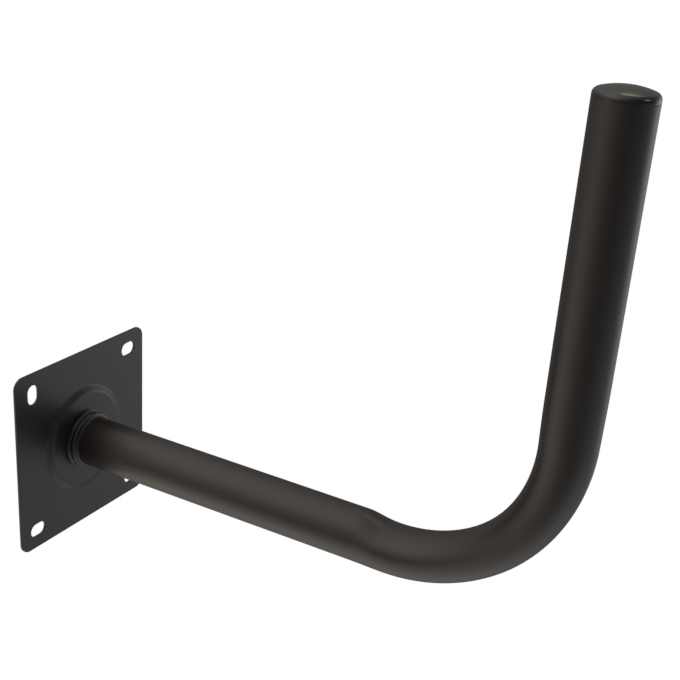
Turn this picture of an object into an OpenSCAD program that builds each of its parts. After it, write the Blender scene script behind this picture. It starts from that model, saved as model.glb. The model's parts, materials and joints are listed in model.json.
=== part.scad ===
// Wall bracket for a satellite dish: pressed wall plate, one bent tube swaged into it, and a mast plug.
// +X points away from the wall along the arm and +Z up the mast. The origin lies on the wall, on the arm's axis.

/* [Wall plate] */
// Side of the square wall plate
plate_side = 150; // [130:1:200]
// Thickness of the plate's sheet
plate_t = 2; // [1.5:0.1:3]
// Radius of the plate's corners
plate_corner_r = 9; // [3:0.5:16]

/* [Boss] */
// Height of the pressed boss above the plate
boss_h = 3; // [2.6:0.1:6]
// Radius where the boss leaves the flat plate
boss_foot_r = 45; // [43:0.5:50]
// Radius of the boss's flat top
boss_top_r = 38; // [34:0.5:39]
// Inner bend radius of the sheet at the boss's foot and at its shoulder
boss_bend_r = 1.5; // [1:0.1:2.5]
// Bend radius of the neck drawn up round the tube
neck_bend_r = 2.2; // [1:0.1:3]

/* [Slots] */
// Length of each slot
slot_l = 16; // [12:0.5:20]
// Width of each slot
slot_w = 11; // [8:0.5:11.5]
// Distance of every slot's centre from the arm's axis, sideways
slot_y = 56.25; // [54:0.25:60]
// Height of the upright slots' centres above and below the arm's axis
upright_slot_z = 57.5; // [54:0.5:60]
// Height of the level slots' centres above and below the arm's axis
level_slot_z = 59.5; // [54:0.5:62]

/* [Tube] */
// Outside diameter of the tube
tube_d = 40; // [36:0.5:42]
// Wall thickness of the tube
tube_wall = 1.5; // [1.2:0.1:2.5]
// Distance from the plate's face to the mast's axis
reach = 400; // [300:5:600]
// Height of the mast's end above the arm's axis
mast_h = 336; // [270:2:600]
// Gap between the tube and the plate's neck
swage_gap = 0.05; // [0.02:0.01:0.1]

/* [Bend] */
// Centreline radius of the bend
bend_r = 118; // [100:1:160]
// Depth to which the bending die flattens the inner side
press_depth = 4.3; // [1:0.1:6]
// Length of the step in front of the bend where the die begins
press_step = 23; // [15:1:40]
// Length of the bend, along its centreline, that keeps the full depth
press_hold = 75; // [40:1:110]
// Length over which the flattening runs out
press_fade = 139; // [80:1:150]
// Depth to which the stretched outer side sinks
stretch_depth = 0.9; // [0:0.1:2]
// How far the pressed tube widens on each side
press_widen = 1; // [0:0.1:2]

/* [Swaged end] */
// How far the rolled bead stands out of the tube
bead_h = 3.6; // [2.8:0.1:5]
// Radius of the bead's round crest
bead_crest_r = 2.3; // [1.8:0.1:2.5]
// Radius of the hollow between the bead and the arm
bead_blend_r = 1.5; // [0.8:0.1:2.5]
// Radius of the flared wall end
flare_r = 29; // [26:0.5:32]

/* [Mast plug] */
// Height of the plug's domed head above the mast's end
head_h = 8; // [6.5:0.1:10]
// Height of the head's straight side
head_side = 1.5; // [0.4:0.1:2]
// Radius of the head's rounded edge
head_edge_r = 4; // [1:0.1:4.5]
// Length of the spigot below the head
spigot_l = 22; // [16:1:32]
// Wall thickness of the spigot
spigot_wall = 1.6; // [1.2:0.1:2.4]
// Gap between the spigot's barrel and the bore
spigot_gap = 1.2; // [0.8:0.1:2]
// Gap between the ring fins and the bore
fin_gap = 0.06; // [0.02:0.01:0.1]
// Thickness of each ring fin at its edge
fin_t = 1; // [0.6:0.1:1.4]
// Number of ring fins
fin_count = 4; // [2:1:4]

/* [Hidden] */
tube_r = tube_d / 2;
bore_r = tube_r - tube_wall;
boss_front = plate_t + boss_h;
mast_x = plate_t + reach;
bend_x = mast_x - bend_r; // where the bend begins on the arm
bend_arc = bend_r * PI / 2; // length of the bend's centreline
neck_bore_r = tube_r + swage_gap;
neck_bend_x = boss_front + neck_bend_r; // the neck's rim, and the centre of its bend
neck_centre_r = neck_bore_r + plate_t + neck_bend_r;
flare_bend_r = neck_bend_r + plate_t + swage_gap; // the tube's skin where it follows the neck
pressed_from = -press_step - 2; // distances along the centreline from the bend's start
pressed_to = -2;
sunk_from = 80;
sunk_full = 160;
swept_to = max(press_hold + press_fade, 230);
ring_sides = 32;
seam_step = 0.02; // the swept bend stands this much proud of the straight runs, inside and out, and takes in their ends
swept_r = (tube_r + seam_step) / cos(180 / ring_sides);
swept_bore_r = bore_r - seam_step;
round_fn = 96;
arc_steps = 6;
cut = 1; // how far a cutter runs past a face
lap = 1; // how far the straight tube runs into the swept bend

// A right-handed turn that lays a shape drawn along Z along the wall's normal
module from_wall() {
    rotate([0, 90, 0]) children();
}

// Points of an arc about [cx, cy] with radius r, from angle a to angle b
function arc(cx, cy, r, a, b) =
    [for (i = [0:arc_steps]) let (t = a + (b - a) * i / arc_steps) [cx + r * cos(t), cy + r * sin(t)]];

// 0 before a, 1 after b, and a smooth rise between
function rise(a, b, s) =
    let (u = min(1, max(0, (s - a) / (b - a)))) u * u * (3 - 2 * u);

// ---- Wall plate ----

// The boss's flank leans by this angle, so that it is tangent to both bends of the sheet
shoulder_bend_r = boss_bend_r + plate_t;
boss_run = boss_foot_r - boss_top_r;
boss_drop = boss_bend_r + shoulder_bend_r - boss_h;
flank = asin((boss_bend_r + shoulder_bend_r) / norm([boss_run, boss_drop])) - atan2(boss_drop, boss_run);

// One face of the sheet from the boss's foot to the neck's rim, as [radius, height];
// inset is 0 for the front face and the sheet's thickness for the back
function boss_face(inset) = concat(
    arc(boss_foot_r, plate_t + boss_bend_r, boss_bend_r + inset, -90, -90 - flank),
    arc(boss_top_r, boss_front - shoulder_bend_r, shoulder_bend_r - inset, 90 - flank, 90),
    arc(neck_centre_r, neck_bend_x, neck_bend_r + inset, -90, -180)
);

module slot(y, z, turn) {
    from_wall() translate([-z, y, -cut]) rotate(turn)
        linear_extrude(plate_t + 2 * cut) {
            square([slot_l - slot_w, slot_w], center = true);
            for (end = [-1, 1])
                translate([end * (slot_l - slot_w) / 2, 0]) circle(d = slot_w, $fn = 48);
        }
}

module flat_sheet() {
    from_wall() linear_extrude(plate_t) difference() {
        union() {
            square([plate_side, plate_side - 2 * plate_corner_r], center = true);
            square([plate_side - 2 * plate_corner_r, plate_side], center = true);
            for (y = [-1, 1], z = [-1, 1])
                translate([z, y] * (plate_side / 2 - plate_corner_r))
                    circle(plate_corner_r, $fn = 64);
        }
        circle(boss_foot_r, $fn = round_fn);
    }
}

module boss_and_neck() {
    back = boss_face(plate_t);
    from_wall() rotate_extrude($fn = round_fn)
        polygon(concat(boss_face(0), [for (i = [len(back) - 1:-1:0]) back[i]]));
}

module wall_plate() {
    color("#3e3b3c") difference() {
        union() {
            flat_sheet();
            boss_and_neck();
        }
        for (side = [-1, 1]) {
            slot(side * slot_y, -side * upright_slot_z, 0);
            slot(side * slot_y, side * level_slot_z, 90);
        }
    }
}

// ---- Bent tube ----

// Depth of the inner side's flattening, and of the outer side's, at a distance s past the bend's start
function pressed(s) =
    rise(pressed_from, pressed_to, s) * (1 - rise(press_hold, press_hold + press_fade, s));
function sunk(s) =
    rise(sunk_from, sunk_full, s) * (1 - rise(sunk_full, swept_to, s));

// Point of the centreline at s, and the direction there that points out of the bend
function centre(s) =
    s < 0 ? [bend_x + s, 0, 0] :
    s < bend_arc ? [bend_x + bend_r * sin(turned(s)), 0, bend_r * (1 - cos(turned(s)))] :
    [mast_x, 0, bend_r + s - bend_arc];
function turned(s) = 90 * min(1, max(0, s / bend_arc));
function outward(s) = [sin(turned(s)), 0, -cos(turned(s))];

// One ring of the tube's outer or inner skin, of radius r, at s
function skin_ring(s, r) = [
    for (i = [0:ring_sides - 1]) let (
        t = 360 * (i + 0.5) / ring_sides,
        depth = cos(t) > 0 ? stretch_depth * sunk(s) : press_depth * pressed(s),
        across = r + press_widen * pressed(s)
    ) centre(s) + outward(s) * cos(t) * (r - depth) + [0, across * sin(t), 0]
];

// Rings are close together where the die's step is and further apart elsewhere
ring_s = concat(
    [for (i = [0:7]) pressed_from + i * (pressed_to - pressed_from) / 7],
    [for (i = [1:26]) pressed_to + i * (swept_to - pressed_to) / 26]
);

// A closed solid swept inside one skin of the bend, running past both ends of the sweep by over
module swept_skin(r, over) {
    last = len(ring_s) - 1;
    polyhedron(
        points = [
            for (k = [0:last])
                each skin_ring(ring_s[k] + (k == 0 ? -over : k == last ? over : 0), r)
        ],
        faces = concat(
            [for (k = [0:last - 1], i = [0:ring_sides - 1]) let (
                a = k * ring_sides + i,
                b = k * ring_sides + (i + 1) % ring_sides
            ) [a, a + ring_sides, b + ring_sides, b]],
            [[for (i = [0:ring_sides - 1]) i]],
            [[for (i = [ring_sides - 1:-1:0]) last * ring_sides + i]]
        ),
        convexity = 6
    );
}

module swept_bend() {
    difference() {
        swept_skin(swept_r, 0);
        swept_skin(swept_bore_r, cut);
    }
}

// The arm's wall as [radius, distance from the wall]: flare, neck, bead and the straight run to the bend
module arm() {
    crest_x = neck_bend_x + bead_crest_r;
    crest_r = tube_r + bead_h - bead_crest_r;
    blend = sqrt(pow(bead_crest_r + bead_blend_r, 2) - pow(crest_r - tube_r - bead_blend_r, 2));
    lean = atan2(blend, tube_r + bead_blend_r - crest_r);
    flare_x = boss_h - swage_gap;
    from_wall() rotate_extrude($fn = round_fn) polygon(concat(
        [[flare_r, flare_x - tube_wall], [flare_r, flare_x]],
        arc(neck_centre_r, neck_bend_x, flare_bend_r, -90, -180),
        [[neck_centre_r - flare_bend_r, neck_bend_x]],
        arc(crest_r, crest_x, bead_crest_r, -90, lean),
        arc(tube_r + bead_blend_r, crest_x + blend, bead_blend_r, lean + 180, 180),
        [[tube_r, bend_x + pressed_from + lap], [bore_r, bend_x + pressed_from + lap]],
        arc(neck_centre_r, neck_bend_x, neck_centre_r - bore_r, -180, -90)
    ));
}

module mast() {
    foot = bend_r + swept_to - bend_arc - lap;
    translate([mast_x, 0, foot]) difference() {
        cylinder(r = tube_r, h = mast_h - foot, $fn = round_fn);
        translate([0, 0, -cut]) cylinder(r = bore_r, h = mast_h - foot + 2 * cut, $fn = round_fn);
    }
}

module bent_tube() {
    color("#3a3634") union() {
        arm();
        swept_bend();
        mast();
    }
}

// ---- Mast plug ----

// Outline of the domed head as [radius, height above the mast's end]: the dome is tangent to the edge's rounding
function head_outline() = let (
    rise_h = head_h - head_side - head_edge_r,
    edge_x = tube_r - head_edge_r,
    below = (edge_x * edge_x - rise_h * rise_h) / (2 * rise_h),
    dome_r = rise_h + below + head_edge_r,
    lean = atan2(below, edge_x)
) concat(
    arc(edge_x, head_side, head_edge_r, 0, lean),
    arc(0, head_side - below, dome_r, lean, 90)
);

module mast_plug() {
    barrel_r = bore_r - spigot_gap;
    hollow_r = barrel_r - spigot_wall;
    fin_pitch = (spigot_l - 3 * fin_t) / fin_count;
    color("#2b2928") translate([mast_x, 0, mast_h]) difference() {
        union() {
            rotate_extrude($fn = round_fn) polygon(concat([[0, 0], [tube_r, 0]], head_outline()));
            translate([0, 0, -spigot_l]) cylinder(r = barrel_r, h = spigot_l + head_side / 2, $fn = round_fn);
            for (i = [1:fin_count])
                translate([0, 0, -fin_t - (i - 0.5) * fin_pitch])
                    cylinder(r = bore_r - fin_gap, h = fin_t, $fn = round_fn);
        }
        translate([0, 0, -spigot_l - cut])
            cylinder(r = hollow_r, h = spigot_l + cut + head_side, $fn = round_fn);
    }
}

wall_plate();
bent_tube();
mast_plug();
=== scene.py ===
import bpy
import bmesh
import json
import math
from mathutils import Euler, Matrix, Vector


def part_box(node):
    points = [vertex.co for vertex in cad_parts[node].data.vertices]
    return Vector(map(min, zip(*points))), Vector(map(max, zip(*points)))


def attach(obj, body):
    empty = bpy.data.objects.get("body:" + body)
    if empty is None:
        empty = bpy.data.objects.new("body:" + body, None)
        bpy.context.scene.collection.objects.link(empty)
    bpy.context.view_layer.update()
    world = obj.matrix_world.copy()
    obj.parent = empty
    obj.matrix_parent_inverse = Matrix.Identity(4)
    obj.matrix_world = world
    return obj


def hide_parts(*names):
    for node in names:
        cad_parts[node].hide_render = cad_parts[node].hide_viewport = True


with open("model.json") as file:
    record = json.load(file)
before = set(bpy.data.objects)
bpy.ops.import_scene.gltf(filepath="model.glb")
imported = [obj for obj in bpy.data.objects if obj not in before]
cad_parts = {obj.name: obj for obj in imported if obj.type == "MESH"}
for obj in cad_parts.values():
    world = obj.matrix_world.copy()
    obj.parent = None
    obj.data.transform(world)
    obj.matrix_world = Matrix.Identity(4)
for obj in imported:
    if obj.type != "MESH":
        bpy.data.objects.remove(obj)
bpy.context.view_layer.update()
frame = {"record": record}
mm = 0.001
weldDistance = 0.002 * mm
nearDistance = 0.01 * mm
sharpAngle = 1.0  # in radians; an edge that turns further than this is rounded


def mount(name):
    return next(m for m in frame["record"]["mounts"] if m["name"] == name)


def arc(centre, radius, start, end, steps):
    # points from angle start to angle end, in degrees, about centre
    angles = [math.radians(start + (end - start) * i / steps) for i in range(steps + 1)]
    return [(centre[0] + radius * math.cos(a), centre[1] + radius * math.sin(a)) for a in angles]


def smoothRise(start, end, value):
    share = min(1.0, max(0.0, (value - start) / (end - start)))
    return share * share * (3 - 2 * share)


def lathe(bm, outline, axis, foot, steps):
    # outline is (radius, height along the axis) in metres; it is spun a full turn
    side = Vector((0, 1, 0))
    verts = [bm.verts.new(foot + side * radius + axis * height) for radius, height in outline]
    edges = [bm.edges.new(pair) for pair in zip(verts, verts[1:])]
    bmesh.ops.spin(bm, geom=verts + edges, cent=foot, axis=axis, dvec=(0, 0, 0),
                   angle=math.tau, steps=steps, use_merge=True, use_duplicate=False)
    bmesh.ops.remove_doubles(bm, verts=bm.verts[:], dist=weldDistance)


def openRim(bm):
    return [edge for edge in bm.edges if len(edge.link_faces) == 1]


def finishPiece(bm, name, material, body, slotName, *nodes):
    bmesh.ops.remove_doubles(bm, verts=bm.verts[:], dist=weldDistance)
    bmesh.ops.recalc_face_normals(bm, faces=bm.faces[:])
    mesh = bpy.data.meshes.new(name)
    bm.to_mesh(mesh)
    bm.free()
    mesh.polygons.foreach_set("use_smooth", [True] * len(mesh.polygons))
    mesh.materials.append(material)
    piece = bpy.data.objects.new(name, mesh)
    bpy.context.scene.collection.objects.link(piece)
    # flat faces stay flat beside rounded edges
    shading = piece.modifiers.new("evenShading", "WEIGHTED_NORMAL")
    shading.keep_sharp = True
    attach(piece, body)
    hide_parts(*nodes)
    print("made", name, len(mesh.polygons), "faces")
    return piece


def linearColour(code):
    # sRGB hex to the linear values that shaders take
    channels = [int(code[i:i + 2], 16) / 255 for i in (1, 3, 5)]
    return tuple(c / 12.92 if c <= 0.04045 else ((c + 0.055) / 1.055) ** 2.4 for c in channels) + (1.0,)


def addNode(tree, kind, settings=None, links=None):
    node = tree.nodes.new(kind)
    for key, value in (settings or {}).items():
        if isinstance(key, int) or key in node.inputs:
            node.inputs[key].default_value = value
        else:
            setattr(node, key, value)
    for key, source in (links or {}).items():
        tree.links.new(source, node.inputs[key])
    return node


def coatMaterial(name, look):
    # one layer of baked polyester powder: even colour, satin gloss, and a fine orange peel
    material = bpy.data.materials.new(name)
    material.use_nodes = True
    tree = material.node_tree
    tree.nodes.clear()
    place = addNode(tree, "ShaderNodeTexCoord").outputs["Object"]
    cloud = addNode(tree, "ShaderNodeTexNoise",
                    {"Scale": 1 / (look["cloudSize"] * mm), "Detail": 3.0, "Roughness": 0.55},
                    {"Vector": place})
    peel = addNode(tree, "ShaderNodeTexNoise",
                   {"Scale": 1 / (look["peelSize"] * mm), "Detail": 2.0, "Roughness": 0.5},
                   {"Vector": place})
    grain = addNode(tree, "ShaderNodeTexNoise",
                    {"Scale": 1 / (look["grainSize"] * mm), "Detail": 1.0},
                    {"Vector": place})
    tone = addNode(tree, "ShaderNodeMapRange",
                   {"To Min": 1 - look["toneShift"], "To Max": 1 + look["toneShift"]},
                   {"Value": cloud.outputs["Fac"]})
    colour = addNode(tree, "ShaderNodeVectorMath",
                     {"operation": "SCALE", 0: linearColour(look["colour"])[:3]},
                     {"Scale": tone.outputs["Result"]})
    gloss = addNode(tree, "ShaderNodeMapRange",
                    {"To Min": look["roughness"] - look["glossShift"],
                     "To Max": look["roughness"] + look["glossShift"]},
                    {"Value": cloud.outputs["Fac"]})
    fineBump = addNode(tree, "ShaderNodeBump",
                       {"Strength": look["grainStrength"], "Distance": look["grainDepth"] * mm},
                       {"Height": grain.outputs["Fac"]})
    bump = addNode(tree, "ShaderNodeBump",
                   {"Strength": look["peelStrength"], "Distance": look["peelDepth"] * mm},
                   {"Height": peel.outputs["Fac"], "Normal": fineBump.outputs["Normal"]})
    surface = addNode(tree, "ShaderNodeBsdfPrincipled",
                      {"IOR": look["ior"], "Specular IOR Level": look["specular"]},
                      {"Base Color": colour.outputs["Vector"], "Roughness": gloss.outputs["Result"],
                       "Normal": bump.outputs["Normal"]})
    addNode(tree, "ShaderNodeOutputMaterial", None, {"Surface": surface.outputs["BSDF"]})
    return material


sheetCoatLook = {  # anthracite polyester powder on pressed sheet: satin, slightly cooler than the tube
    "colour": "#1d1d1d",
    "roughness": 0.36,
    "ior": 1.5,
    "specular": 0.5,
    "cloudSize": 45,  # size in mm of the faint clouds where the coat lies thicker
    "toneShift": 0.05,
    "glossShift": 0.03,
    "peelSize": 2.2,  # orange peel's ripple in mm
    "peelStrength": 0.25,
    "peelDepth": 0.02,
    "grainSize": 0.8,  # the real grain is about 0.3 mm and too fine to show, so it is drawn coarser
    "grainStrength": 0.25,
    "grainDepth": 0.008,
}

tubeCoatLook = dict(sheetCoatLook, colour="#1b1715", roughness=0.37)  # the same powder from a browner batch

plugLook = {  # injection-moulded low-density polyethylene, black, from a polished mould
    "colour": "#161616",
    "roughness": 0.18,
    "ior": 1.51,
    "specular": 0.5,
    "cloudSize": 14,
    "toneShift": 0.04,
    "glossShift": 0.03,
    "peelSize": 3.0,
    "peelStrength": 0.12,
    "peelDepth": 0.015,
    "grainSize": 0.8,
    "grainStrength": 0.08,
    "grainDepth": 0.004,
}

sheetCoat = coatMaterial("satinPowderCoatedSheet", sheetCoatLook)
tubeCoat = coatMaterial("satinPowderCoatedTube", tubeCoatLook)
plugPlastic = coatMaterial("mouldedPolyethylene", plugLook)
print("materials ready")


plateLow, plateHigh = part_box("wall_plate")
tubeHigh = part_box("bent_tube")[1]
plugLow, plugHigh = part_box("mast_plug")
mastMount = mount("mast")
tubeRadius = mastMount["dims"]["r_mm"] * mm
mastX = mastMount["pos_m"][0]
mastTop = tubeHigh.z
joint = {  # where the plate and the tube are swaged together
    "sheet": 2.0 * mm,
    "bossHeight": 3.0 * mm,
    "neckBend": 2.2 * mm,
    "gap": 0.05 * mm,
}
bossFront = joint["sheet"] + joint["bossHeight"]
neckRim = bossFront + joint["neckBend"]  # the neck's rim, level with the centre of its bend
neckCentre = tubeRadius + joint["gap"] + joint["sheet"] + joint["neckBend"]


plate = {
    "cornerRadius": 9.0 * mm,
    "cornerSteps": 14,
    "edgeRound": 0.35 * mm,
    "edgeSteps": 3,
    "slotLength": 16.0 * mm,
    "slotWidth": 11.0 * mm,
    "slotSteps": 12,
    "slotY": 56.25 * mm,
    "uprightSlotZ": 57.5 * mm,
    "levelSlotZ": 59.5 * mm,
    "bossFoot": 45.0 * mm,
    "bossTop": 38.0 * mm,
    "bossBend": 2.8 * mm,  # inner radius of the sheet at both bends
    "holeMargin": 0.5 * mm,
    "turnSteps": 128,
    "arcSteps": 10,
}


def roundedOutline(bm, width, height, radius, y, z, steps):
    # a rectangle on the wall plane with its corners rounded
    corners = [bm.verts.new((0, y + across * width / 2, z + up * height / 2))
               for across, up in ((-1, -1), (1, -1), (1, 1), (-1, 1))]
    bm.faces.new(corners)
    bmesh.ops.bevel(bm, geom=corners, offset=radius, offset_type="OFFSET", affect="VERTICES",
                    segments=steps, profile=0.5, clamp_overlap=False, material=-1)


def flatSheet(bm):
    roundedOutline(bm, plateHigh.y - plateLow.y, plateHigh.z - plateLow.z, plate["cornerRadius"],
                   0, 0, plate["cornerSteps"])
    for side in (-1, 1):
        roundedOutline(bm, plate["slotWidth"], plate["slotLength"], plate["slotWidth"] / 2,
                       side * plate["slotY"], -side * plate["uprightSlotZ"], plate["slotSteps"])
        roundedOutline(bm, plate["slotLength"], plate["slotWidth"], plate["slotWidth"] / 2,
                       side * plate["slotY"], side * plate["levelSlotZ"], plate["slotSteps"])
    bmesh.ops.create_circle(bm, cap_ends=False, radius=plate["bossFoot"], segments=plate["turnSteps"],
                            matrix=Euler((0, math.pi / 2, 0)).to_matrix().to_4x4())
    bmesh.ops.delete(bm, geom=bm.faces[:], context="FACES_ONLY")
    bmesh.ops.remove_doubles(bm, verts=bm.verts[:], dist=nearDistance)
    bmesh.ops.triangle_fill(bm, use_beauty=True, use_dissolve=False, edges=bm.edges[:], normal=(1, 0, 0))
    raised = bmesh.ops.extrude_face_region(bm, geom=bm.faces[:])["geom"]
    bmesh.ops.translate(bm, verts=[v for v in raised if isinstance(v, bmesh.types.BMVert)],
                        vec=(joint["sheet"], 0, 0))
    footLimit = plate["bossFoot"] + plate["holeMargin"]  # only the hole for the boss lies inside this radius
    hole = [f for f in bm.faces if all(math.hypot(v.co.y, v.co.z) < footLimit for v in f.verts)]
    bmesh.ops.delete(bm, geom=hole, context="FACES")
    rims = [e for e in bm.edges if len(e.link_faces) == 2 and e.calc_face_angle() > sharpAngle]
    bmesh.ops.bevel(bm, geom=rims, offset=plate["edgeRound"], offset_type="OFFSET", affect="EDGES",
                    segments=plate["edgeSteps"], profile=0.5, material=-1)


def bossSkin(inset):
    # the sheet's front face for inset 0, its back face for the sheet's thickness
    footBend = plate["bossBend"]
    topBend = plate["bossBend"] + joint["sheet"]
    run = plate["bossFoot"] - plate["bossTop"]
    drop = footBend + topBend - joint["bossHeight"]
    flank = math.degrees(math.asin((footBend + topBend) / math.hypot(run, drop)) - math.atan2(drop, run))
    foot = (plate["bossFoot"], joint["sheet"] + footBend)
    shoulder = (plate["bossTop"], bossFront - topBend)
    steps = plate["arcSteps"]
    return (arc(foot, footBend + inset, -90, -90 - flank, steps)
            + arc(shoulder, topBend - inset, 90 - flank, 90, steps)
            + arc((neckCentre, neckRim), joint["neckBend"] + inset, -90, -180, steps))


def wallPlate():
    bm = bmesh.new()
    flatSheet(bm)
    back = bossSkin(joint["sheet"])
    lathe(bm, bossSkin(0) + back[::-1], Vector((1, 0, 0)), Vector((0, 0, 0)), plate["turnSteps"])
    return finishPiece(bm, "wallPlate", sheetCoat, "bracket", "plate_coat", "wall_plate")


tube = {
    "wall": 1.5 * mm,
    "bendRadius": 118.0 * mm,
    "pressDepth": 4.3 * mm,
    "pressStep": 23.0 * mm,
    "pressLead": 2.0 * mm,  # the press is at full depth this far before the bend
    "pressHold": 75.0 * mm,  # measured from where the bend begins
    "pressFade": 139.0 * mm,
    "pressWiden": 1.0 * mm,
    "stretchDepth": 0.9 * mm,
    "stretchFrom": 80.0 * mm,  # this and the next two are measured from there too
    "stretchFull": 160.0 * mm,
    "stretchEnd": 230.0 * mm,
    "beadHeight": 3.6 * mm,
    "beadCrest": 2.3 * mm,
    "beadBlend": 1.5 * mm,
    "crestSteps": 16,
    "blendSteps": 8,
    "flareRadius": 29.0 * mm,
    "flareSteps": 10,
    "edgeRound": 0.4 * mm,
    "edgeSteps": 3,
    "sides": 96,
    "bendSteps": 74,
    "mastSteps": 8,
    "nearStep": 1.5 * mm,
    "farStep": 3.0 * mm,
}
bendX = mastX - tube["bendRadius"]
bendArc = tube["bendRadius"] * math.pi / 2
pressFrom = -tube["pressStep"] - tube["pressLead"]
pressTo = -tube["pressLead"]
boreRadius = tubeRadius - tube["wall"]


def armOutline():
    # the wall end of the tube, from the arm's outside over the bead and round the flare into the bore
    crestX = neckRim + tube["beadCrest"]
    crestR = tubeRadius + tube["beadHeight"] - tube["beadCrest"]
    blendR = tubeRadius + tube["beadBlend"]
    across = math.sqrt((tube["beadCrest"] + tube["beadBlend"]) ** 2 - (blendR - crestR) ** 2)
    lean = math.degrees(math.atan2(across, blendR - crestR))
    flareFront = joint["bossHeight"] - joint["gap"]
    flareBack = flareFront - tube["wall"]
    skin = joint["neckBend"] + joint["sheet"] + joint["gap"]
    edge = tube["edgeRound"]
    edgeRadius = tube["flareRadius"] - edge
    return ([(tubeRadius, bendX + pressFrom)]
            + arc((blendR, crestX + across), tube["beadBlend"], 180, lean + 180, tube["blendSteps"])
            + arc((crestR, crestX), tube["beadCrest"], lean, -90, tube["crestSteps"])
            + [(tubeRadius, neckRim)]
            + arc((neckCentre, neckRim), skin, -180, -90, tube["flareSteps"])
            + arc((edgeRadius, flareFront - edge), edge, 90, 0, tube["edgeSteps"])
            + arc((edgeRadius, flareBack + edge), edge, 0, -90, tube["edgeSteps"])
            + arc((neckCentre, neckRim), skin + tube["wall"], -90, -180, tube["flareSteps"])
            + [(boreRadius, bendX + pressFrom)])


def growRim(bm, rim, move):
    made = bmesh.ops.extrude_edge_only(bm, edges=rim)["geom"]
    verts = [g for g in made if isinstance(g, bmesh.types.BMVert)]
    bmesh.ops.translate(bm, verts=verts, vec=move)
    fresh = set(verts)
    edges = [g for g in made if isinstance(g, bmesh.types.BMEdge)]
    return [e for e in edges if e.verts[0] in fresh and e.verts[1] in fresh]


def alongTube(point):
    # length along the centreline from the bend's start, the centre there, and the way out of the bend
    radius = tube["bendRadius"]
    if point.x <= bendX:
        return point.x - bendX, Vector((point.x, 0, 0)), Vector((0, 0, -1))
    if point.z >= radius:
        return bendArc + point.z - radius, Vector((mastX, 0, point.z)), Vector((1, 0, 0))
    middle = Vector((bendX, 0, radius))
    out = Vector((point.x - bendX, 0, point.z - radius)).normalized()
    return radius * math.atan2(out.x, -out.z), middle + out * radius, out


def pressBend(bm):
    # the bending die flattens the inner side and widens the tube; the outer side sinks where it stretches
    fadeEnd = tube["pressHold"] + tube["pressFade"]
    for vert in bm.verts:
        length, centre, out = alongTube(vert.co)
        pressed = (smoothRise(pressFrom, pressTo, length)
                   * (1 - smoothRise(tube["pressHold"], fadeEnd, length)))
        sunk = (smoothRise(tube["stretchFrom"], tube["stretchFull"], length)
                * (1 - smoothRise(tube["stretchFull"], tube["stretchEnd"], length)))
        if pressed == 0 and sunk == 0:
            continue
        outward = (vert.co - centre).dot(out)
        depth = tube["stretchDepth"] * sunk if outward > 0 else tube["pressDepth"] * pressed
        vert.co = (centre + out * outward * (1 - depth / tubeRadius)
                   + Vector((0, vert.co.y * (1 + tube["pressWiden"] * pressed / tubeRadius), 0)))


def bentTube():
    bm = bmesh.new()
    lathe(bm, armOutline(), Vector((1, 0, 0)), Vector((0, 0, 0)), tube["sides"])
    rim = openRim(bm)
    steps = round(-pressFrom / tube["nearStep"])
    for _ in range(steps):
        rim = growRim(bm, rim, (-pressFrom / steps, 0, 0))
    rimVerts = list({v for e in rim for v in e.verts})
    turned = bmesh.ops.spin(bm, geom=rimVerts + rim, cent=(bendX, 0, tube["bendRadius"]), axis=(0, -1, 0),
                            dvec=(0, 0, 0), angle=math.pi / 2, steps=tube["bendSteps"],
                            use_merge=False, use_duplicate=False)["geom_last"]
    rim = [g for g in turned if isinstance(g, bmesh.types.BMEdge)]
    runOut = tube["stretchEnd"] - bendArc
    steps = round(runOut / tube["farStep"])
    for _ in range(steps):
        rim = growRim(bm, rim, (0, 0, runOut / steps))
    rest = mastTop - tube["bendRadius"] - runOut
    for _ in range(tube["mastSteps"]):
        rim = growRim(bm, rim, (0, 0, rest / tube["mastSteps"]))
    pressBend(bm)
    bmesh.ops.bridge_loops(bm, edges=rim)
    top = mastTop - nearDistance
    lip = [e for e in bm.edges if all(v.co.z > top for v in e.verts)
           and len(e.link_faces) == 2 and e.calc_face_angle() > sharpAngle]
    bmesh.ops.bevel(bm, geom=lip, offset=tube["edgeRound"], offset_type="OFFSET", affect="EDGES",
                    segments=tube["edgeSteps"], profile=0.5, material=-1)
    return finishPiece(bm, "bentTube", tubeCoat, "bracket", "tube_coat", "bent_tube")


plug = {
    "headSide": 1.5 * mm,
    "edgeRadius": 4.0 * mm,
    "underRound": 0.35 * mm,
    "domeSteps": 24,
    "edgeSteps": 10,
    "underSteps": 4,
    "barrelGap": 1.2 * mm,
    "barrelWall": 1.6 * mm,
    "finGap": 0.06 * mm,
    "finCount": 4,
    "finThick": 1.0 * mm,
    "finRimTop": 0.15 * mm,  # the fin's rim begins and ends this far below its top
    "finRimEnd": 0.45 * mm,
    "plainEnd": 3.0 * mm,  # the spigot's last stretch, without fins
    "endChamfer": 0.8 * mm,
    "hollowChamfer": 0.3 * mm,
    "hollowRound": 1.5 * mm,
    "hollowSteps": 6,
    "turnSteps": 128,
}


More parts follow.
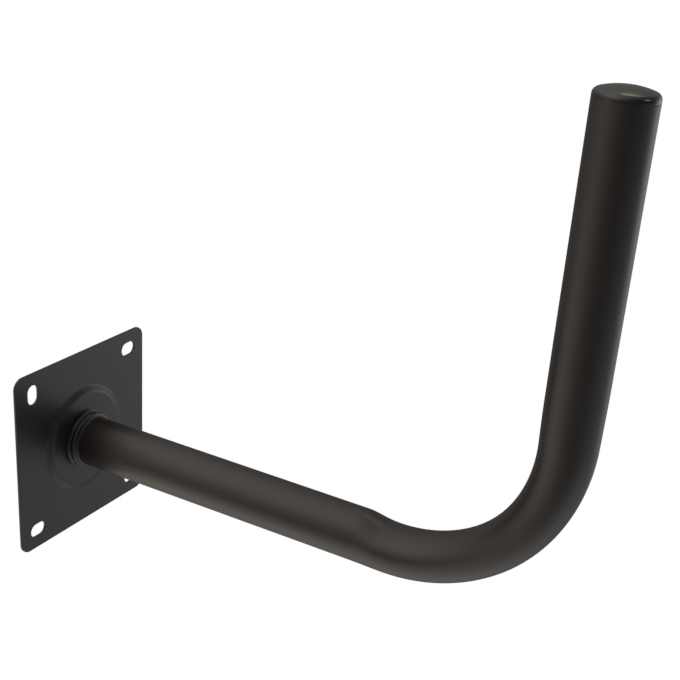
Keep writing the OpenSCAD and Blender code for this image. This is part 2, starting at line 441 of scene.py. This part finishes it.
def plugOutline():
    # from the dome's top over the head and down the finned spigot, then up its hollow
    headHeight = plugHigh.z - mastTop
    spigot = mastTop - plugLow.z
    barrel = boreRadius - plug["barrelGap"]
    hollow = barrel - plug["barrelWall"]
    finRadius = boreRadius - plug["finGap"]
    edgeCentre = tubeRadius - plug["edgeRadius"]
    riseLeft = headHeight - plug["headSide"] - plug["edgeRadius"]
    below = (edgeCentre ** 2 - riseLeft ** 2) / (2 * riseLeft)
    lean = math.degrees(math.atan2(below, edgeCentre))
    under = plug["underRound"]
    domeRadius = riseLeft + below + plug["edgeRadius"]
    outline = arc((0, plug["headSide"] - below), domeRadius, 90, lean, plug["domeSteps"])
    outline += arc((edgeCentre, plug["headSide"]), plug["edgeRadius"], lean, 0, plug["edgeSteps"])[1:]
    outline += arc((tubeRadius - under, under), under, 0, -90, plug["underSteps"])
    outline += arc((barrel + under, -under), under, 90, 180, plug["underSteps"])
    pitch = (spigot - plug["plainEnd"]) / plug["finCount"]
    for i in range(plug["finCount"]):  # nearly flat above and tapered below, to go in easily
        top = -(i + 0.5) * pitch
        outline += [(barrel, top), (finRadius, top - plug["finRimTop"]),
                    (finRadius, top - plug["finRimEnd"]), (barrel, top - plug["finThick"])]
    chamfer = plug["endChamfer"]
    outline += [(barrel, -spigot + chamfer), (barrel - chamfer, -spigot)]
    chamfer = plug["hollowChamfer"]
    outline += [(hollow + chamfer, -spigot), (hollow, -spigot + chamfer)]
    inner = plug["hollowRound"]
    outline += arc((hollow - inner, plug["headSide"] - inner), inner, 0, 90, plug["hollowSteps"])
    outline += [(0, plug["headSide"])]
    return outline


def mastPlug():
    bm = bmesh.new()
    lathe(bm, plugOutline(), Vector((0, 0, 1)), Vector((mastX, 0, mastTop)), plug["turnSteps"])
    return finishPiece(bm, "mastPlug", plugPlastic, "plug", "plug_plastic", "mast_plug")


wallPlate()
bentTube()
mastPlug()
print("pieces ready")


cameraView = {
    "lens": 65.88,
    "sensor": 36.0,
    "place": (608.7, -697.4, 462.5),  # in mm from the arm's axis at the wall
    "turn": (64.73, -4.47, 28.86),
    "shift": (-0.0420, 0.1111),
    "clip": (0.05, 60),  # in m
}
cameraData = bpy.data.cameras.new("studioCamera")
cameraData.sensor_width = cameraView["sensor"]
cameraData.lens = cameraView["lens"]
cameraData.shift_x, cameraData.shift_y = cameraView["shift"]
cameraData.clip_start, cameraData.clip_end = cameraView["clip"]
studioCamera = bpy.data.objects.new("studioCamera", cameraData)
studioCamera.location = Vector(cameraView["place"]) * mm
studioCamera.rotation_euler = [math.radians(a) for a in cameraView["turn"]]
bpy.context.scene.collection.objects.link(studioCamera)
bpy.context.scene.camera = studioCamera


studio = {
    "floorHeight": -0.45,
    "floorSize": 60.0,
    "paper": "#ffffff",
    "cloth": "#ffffff",  # the tent's cloth between the lamps
    "clothStrength": 0.1,
    "plugPlace": Vector((0.4, 0, 0.34)),
}

# soft lamps behind the tent's cloth, with their angles in degrees: azimuth 0 is +X and 90 is +Y
tentGlows = {
    "keyLeft": {"azimuth": -130, "height": 40, "spread": 25, "strength": 1.2, "colour": "#fff4e8"},
    "lowLeft": {"azimuth": -140, "height": -40, "spread": 20, "strength": 1.2, "colour": "#fff4e8"},
    "above": {"azimuth": 170, "height": 65, "spread": 30, "strength": 1.0, "colour": "#fff8f0"},
    "underneath": {"azimuth": -90, "height": -80, "spread": 25, "strength": 0.9, "colour": "#fff8f0"},
    "lowRight": {"azimuth": 10, "height": -40, "spread": 20, "strength": 0.6, "colour": "#f4f8ff"},
    "lowBack": {"azimuth": 60, "height": -5, "spread": 15, "strength": 1.4, "colour": "#ffffff"},
}

# two softboxes for the plug's highlights: distance from the plug and size in m, power in W
softLamps = {
    "coolBox": {"azimuth": 10, "height": 35, "distance": 2.0, "size": 0.5, "power": 3.0,
                "colour": "#e8f4ff"},
    "warmBox": {"azimuth": 100, "height": 50, "distance": 2.0, "size": 0.5, "power": 1.5,
                "colour": "#fff0cc"},
}


def lightDirection(light):
    azimuth = math.radians(light["azimuth"])
    height = math.radians(light["height"])
    level = math.cos(height)
    return Vector((math.cos(azimuth) * level, math.sin(azimuth) * level, math.sin(height)))


def softLamp(name, light):
    data = bpy.data.lights.new(name, "AREA")
    data.shape = "SQUARE"
    data.size = light["size"]
    data.energy = light["power"]
    data.color = linearColour(light["colour"])[:3]
    lamp = bpy.data.objects.new(name, data)
    out = lightDirection(light)
    lamp.location = studio["plugPlace"] + out * light["distance"]
    lamp.rotation_euler = out.to_track_quat("Z", "Y").to_euler()
    lamp.visible_camera = False
    bpy.context.scene.collection.objects.link(lamp)


def lightTent():
    # the bracket is lit by the glowing cloth, while the camera sees plain white paper in every direction
    world = bpy.data.worlds.new("lightTent")
    world.use_nodes = True
    tree = world.node_tree
    tree.nodes.clear()
    way = addNode(tree, "ShaderNodeTexCoord").outputs["Generated"]
    total = addNode(tree, "ShaderNodeVectorMath",
                    {"operation": "SCALE", 0: linearColour(studio["cloth"])[:3],
                     "Scale": studio["clothStrength"]}).outputs["Vector"]
    for glow in tentGlows.values():
        fall = 1 / math.radians(glow["spread"]) ** 2
        facing = addNode(tree, "ShaderNodeVectorMath",
                         {"operation": "DOT_PRODUCT", 1: lightDirection(glow)}, {0: way})
        drop = addNode(tree, "ShaderNodeMath", {"operation": "MULTIPLY_ADD", 1: fall, 2: -fall},
                       {0: facing.outputs["Value"]})
        patch = addNode(tree, "ShaderNodeMath", {"operation": "EXPONENT"}, {0: drop.outputs["Value"]})
        light = [glow["strength"] * c for c in linearColour(glow["colour"])[:3]]
        total = addNode(tree, "ShaderNodeVectorMath", {"operation": "MULTIPLY_ADD", 0: light},
                        {1: patch.outputs["Value"], 2: total}).outputs["Vector"]
    cloth = addNode(tree, "ShaderNodeBackground", None, {"Color": total})
    paper = addNode(tree, "ShaderNodeBackground", {"Color": linearColour(studio["paper"])})
    seen = addNode(tree, "ShaderNodeLightPath").outputs["Is Camera Ray"]
    mixed = addNode(tree, "ShaderNodeMixShader", None,
                    {0: seen, 1: cloth.outputs["Background"], 2: paper.outputs["Background"]})
    addNode(tree, "ShaderNodeOutputWorld", None, {"Surface": mixed.outputs["Shader"]})
    bpy.context.scene.world = world


def floorSheet():
    bm = bmesh.new()
    bmesh.ops.create_grid(bm, x_segments=1, y_segments=1, size=studio["floorSize"] / 2)
    bmesh.ops.translate(bm, verts=bm.verts[:], vec=(0, 0, studio["floorHeight"]))
    mesh = bpy.data.meshes.new("paleFloor")
    bm.to_mesh(mesh)
    bm.free()
    material = bpy.data.materials.new("paleStudioPaper")
    material.use_nodes = True
    tree = material.node_tree
    tree.nodes.clear()
    glow = addNode(tree, "ShaderNodeEmission", {"Color": linearColour(studio["paper"]), "Strength": 1.0})
    addNode(tree, "ShaderNodeOutputMaterial", None, {"Surface": glow.outputs["Emission"]})
    mesh.materials.append(material)
    floor = bpy.data.objects.new("paleFloor", mesh)
    bpy.context.scene.collection.objects.link(floor)
    floor.visible_diffuse = False  # so the tent's light reaches the bracket from below too
    floor.visible_glossy = False
    floor.visible_shadow = False


lightTent()
for lampName, lampLight in softLamps.items():
    softLamp(lampName, lampLight)
floorSheet()
bpy.context.scene.view_settings.view_transform = "Standard"
bpy.context.scene.view_settings.look = "None"
print("studio ready")
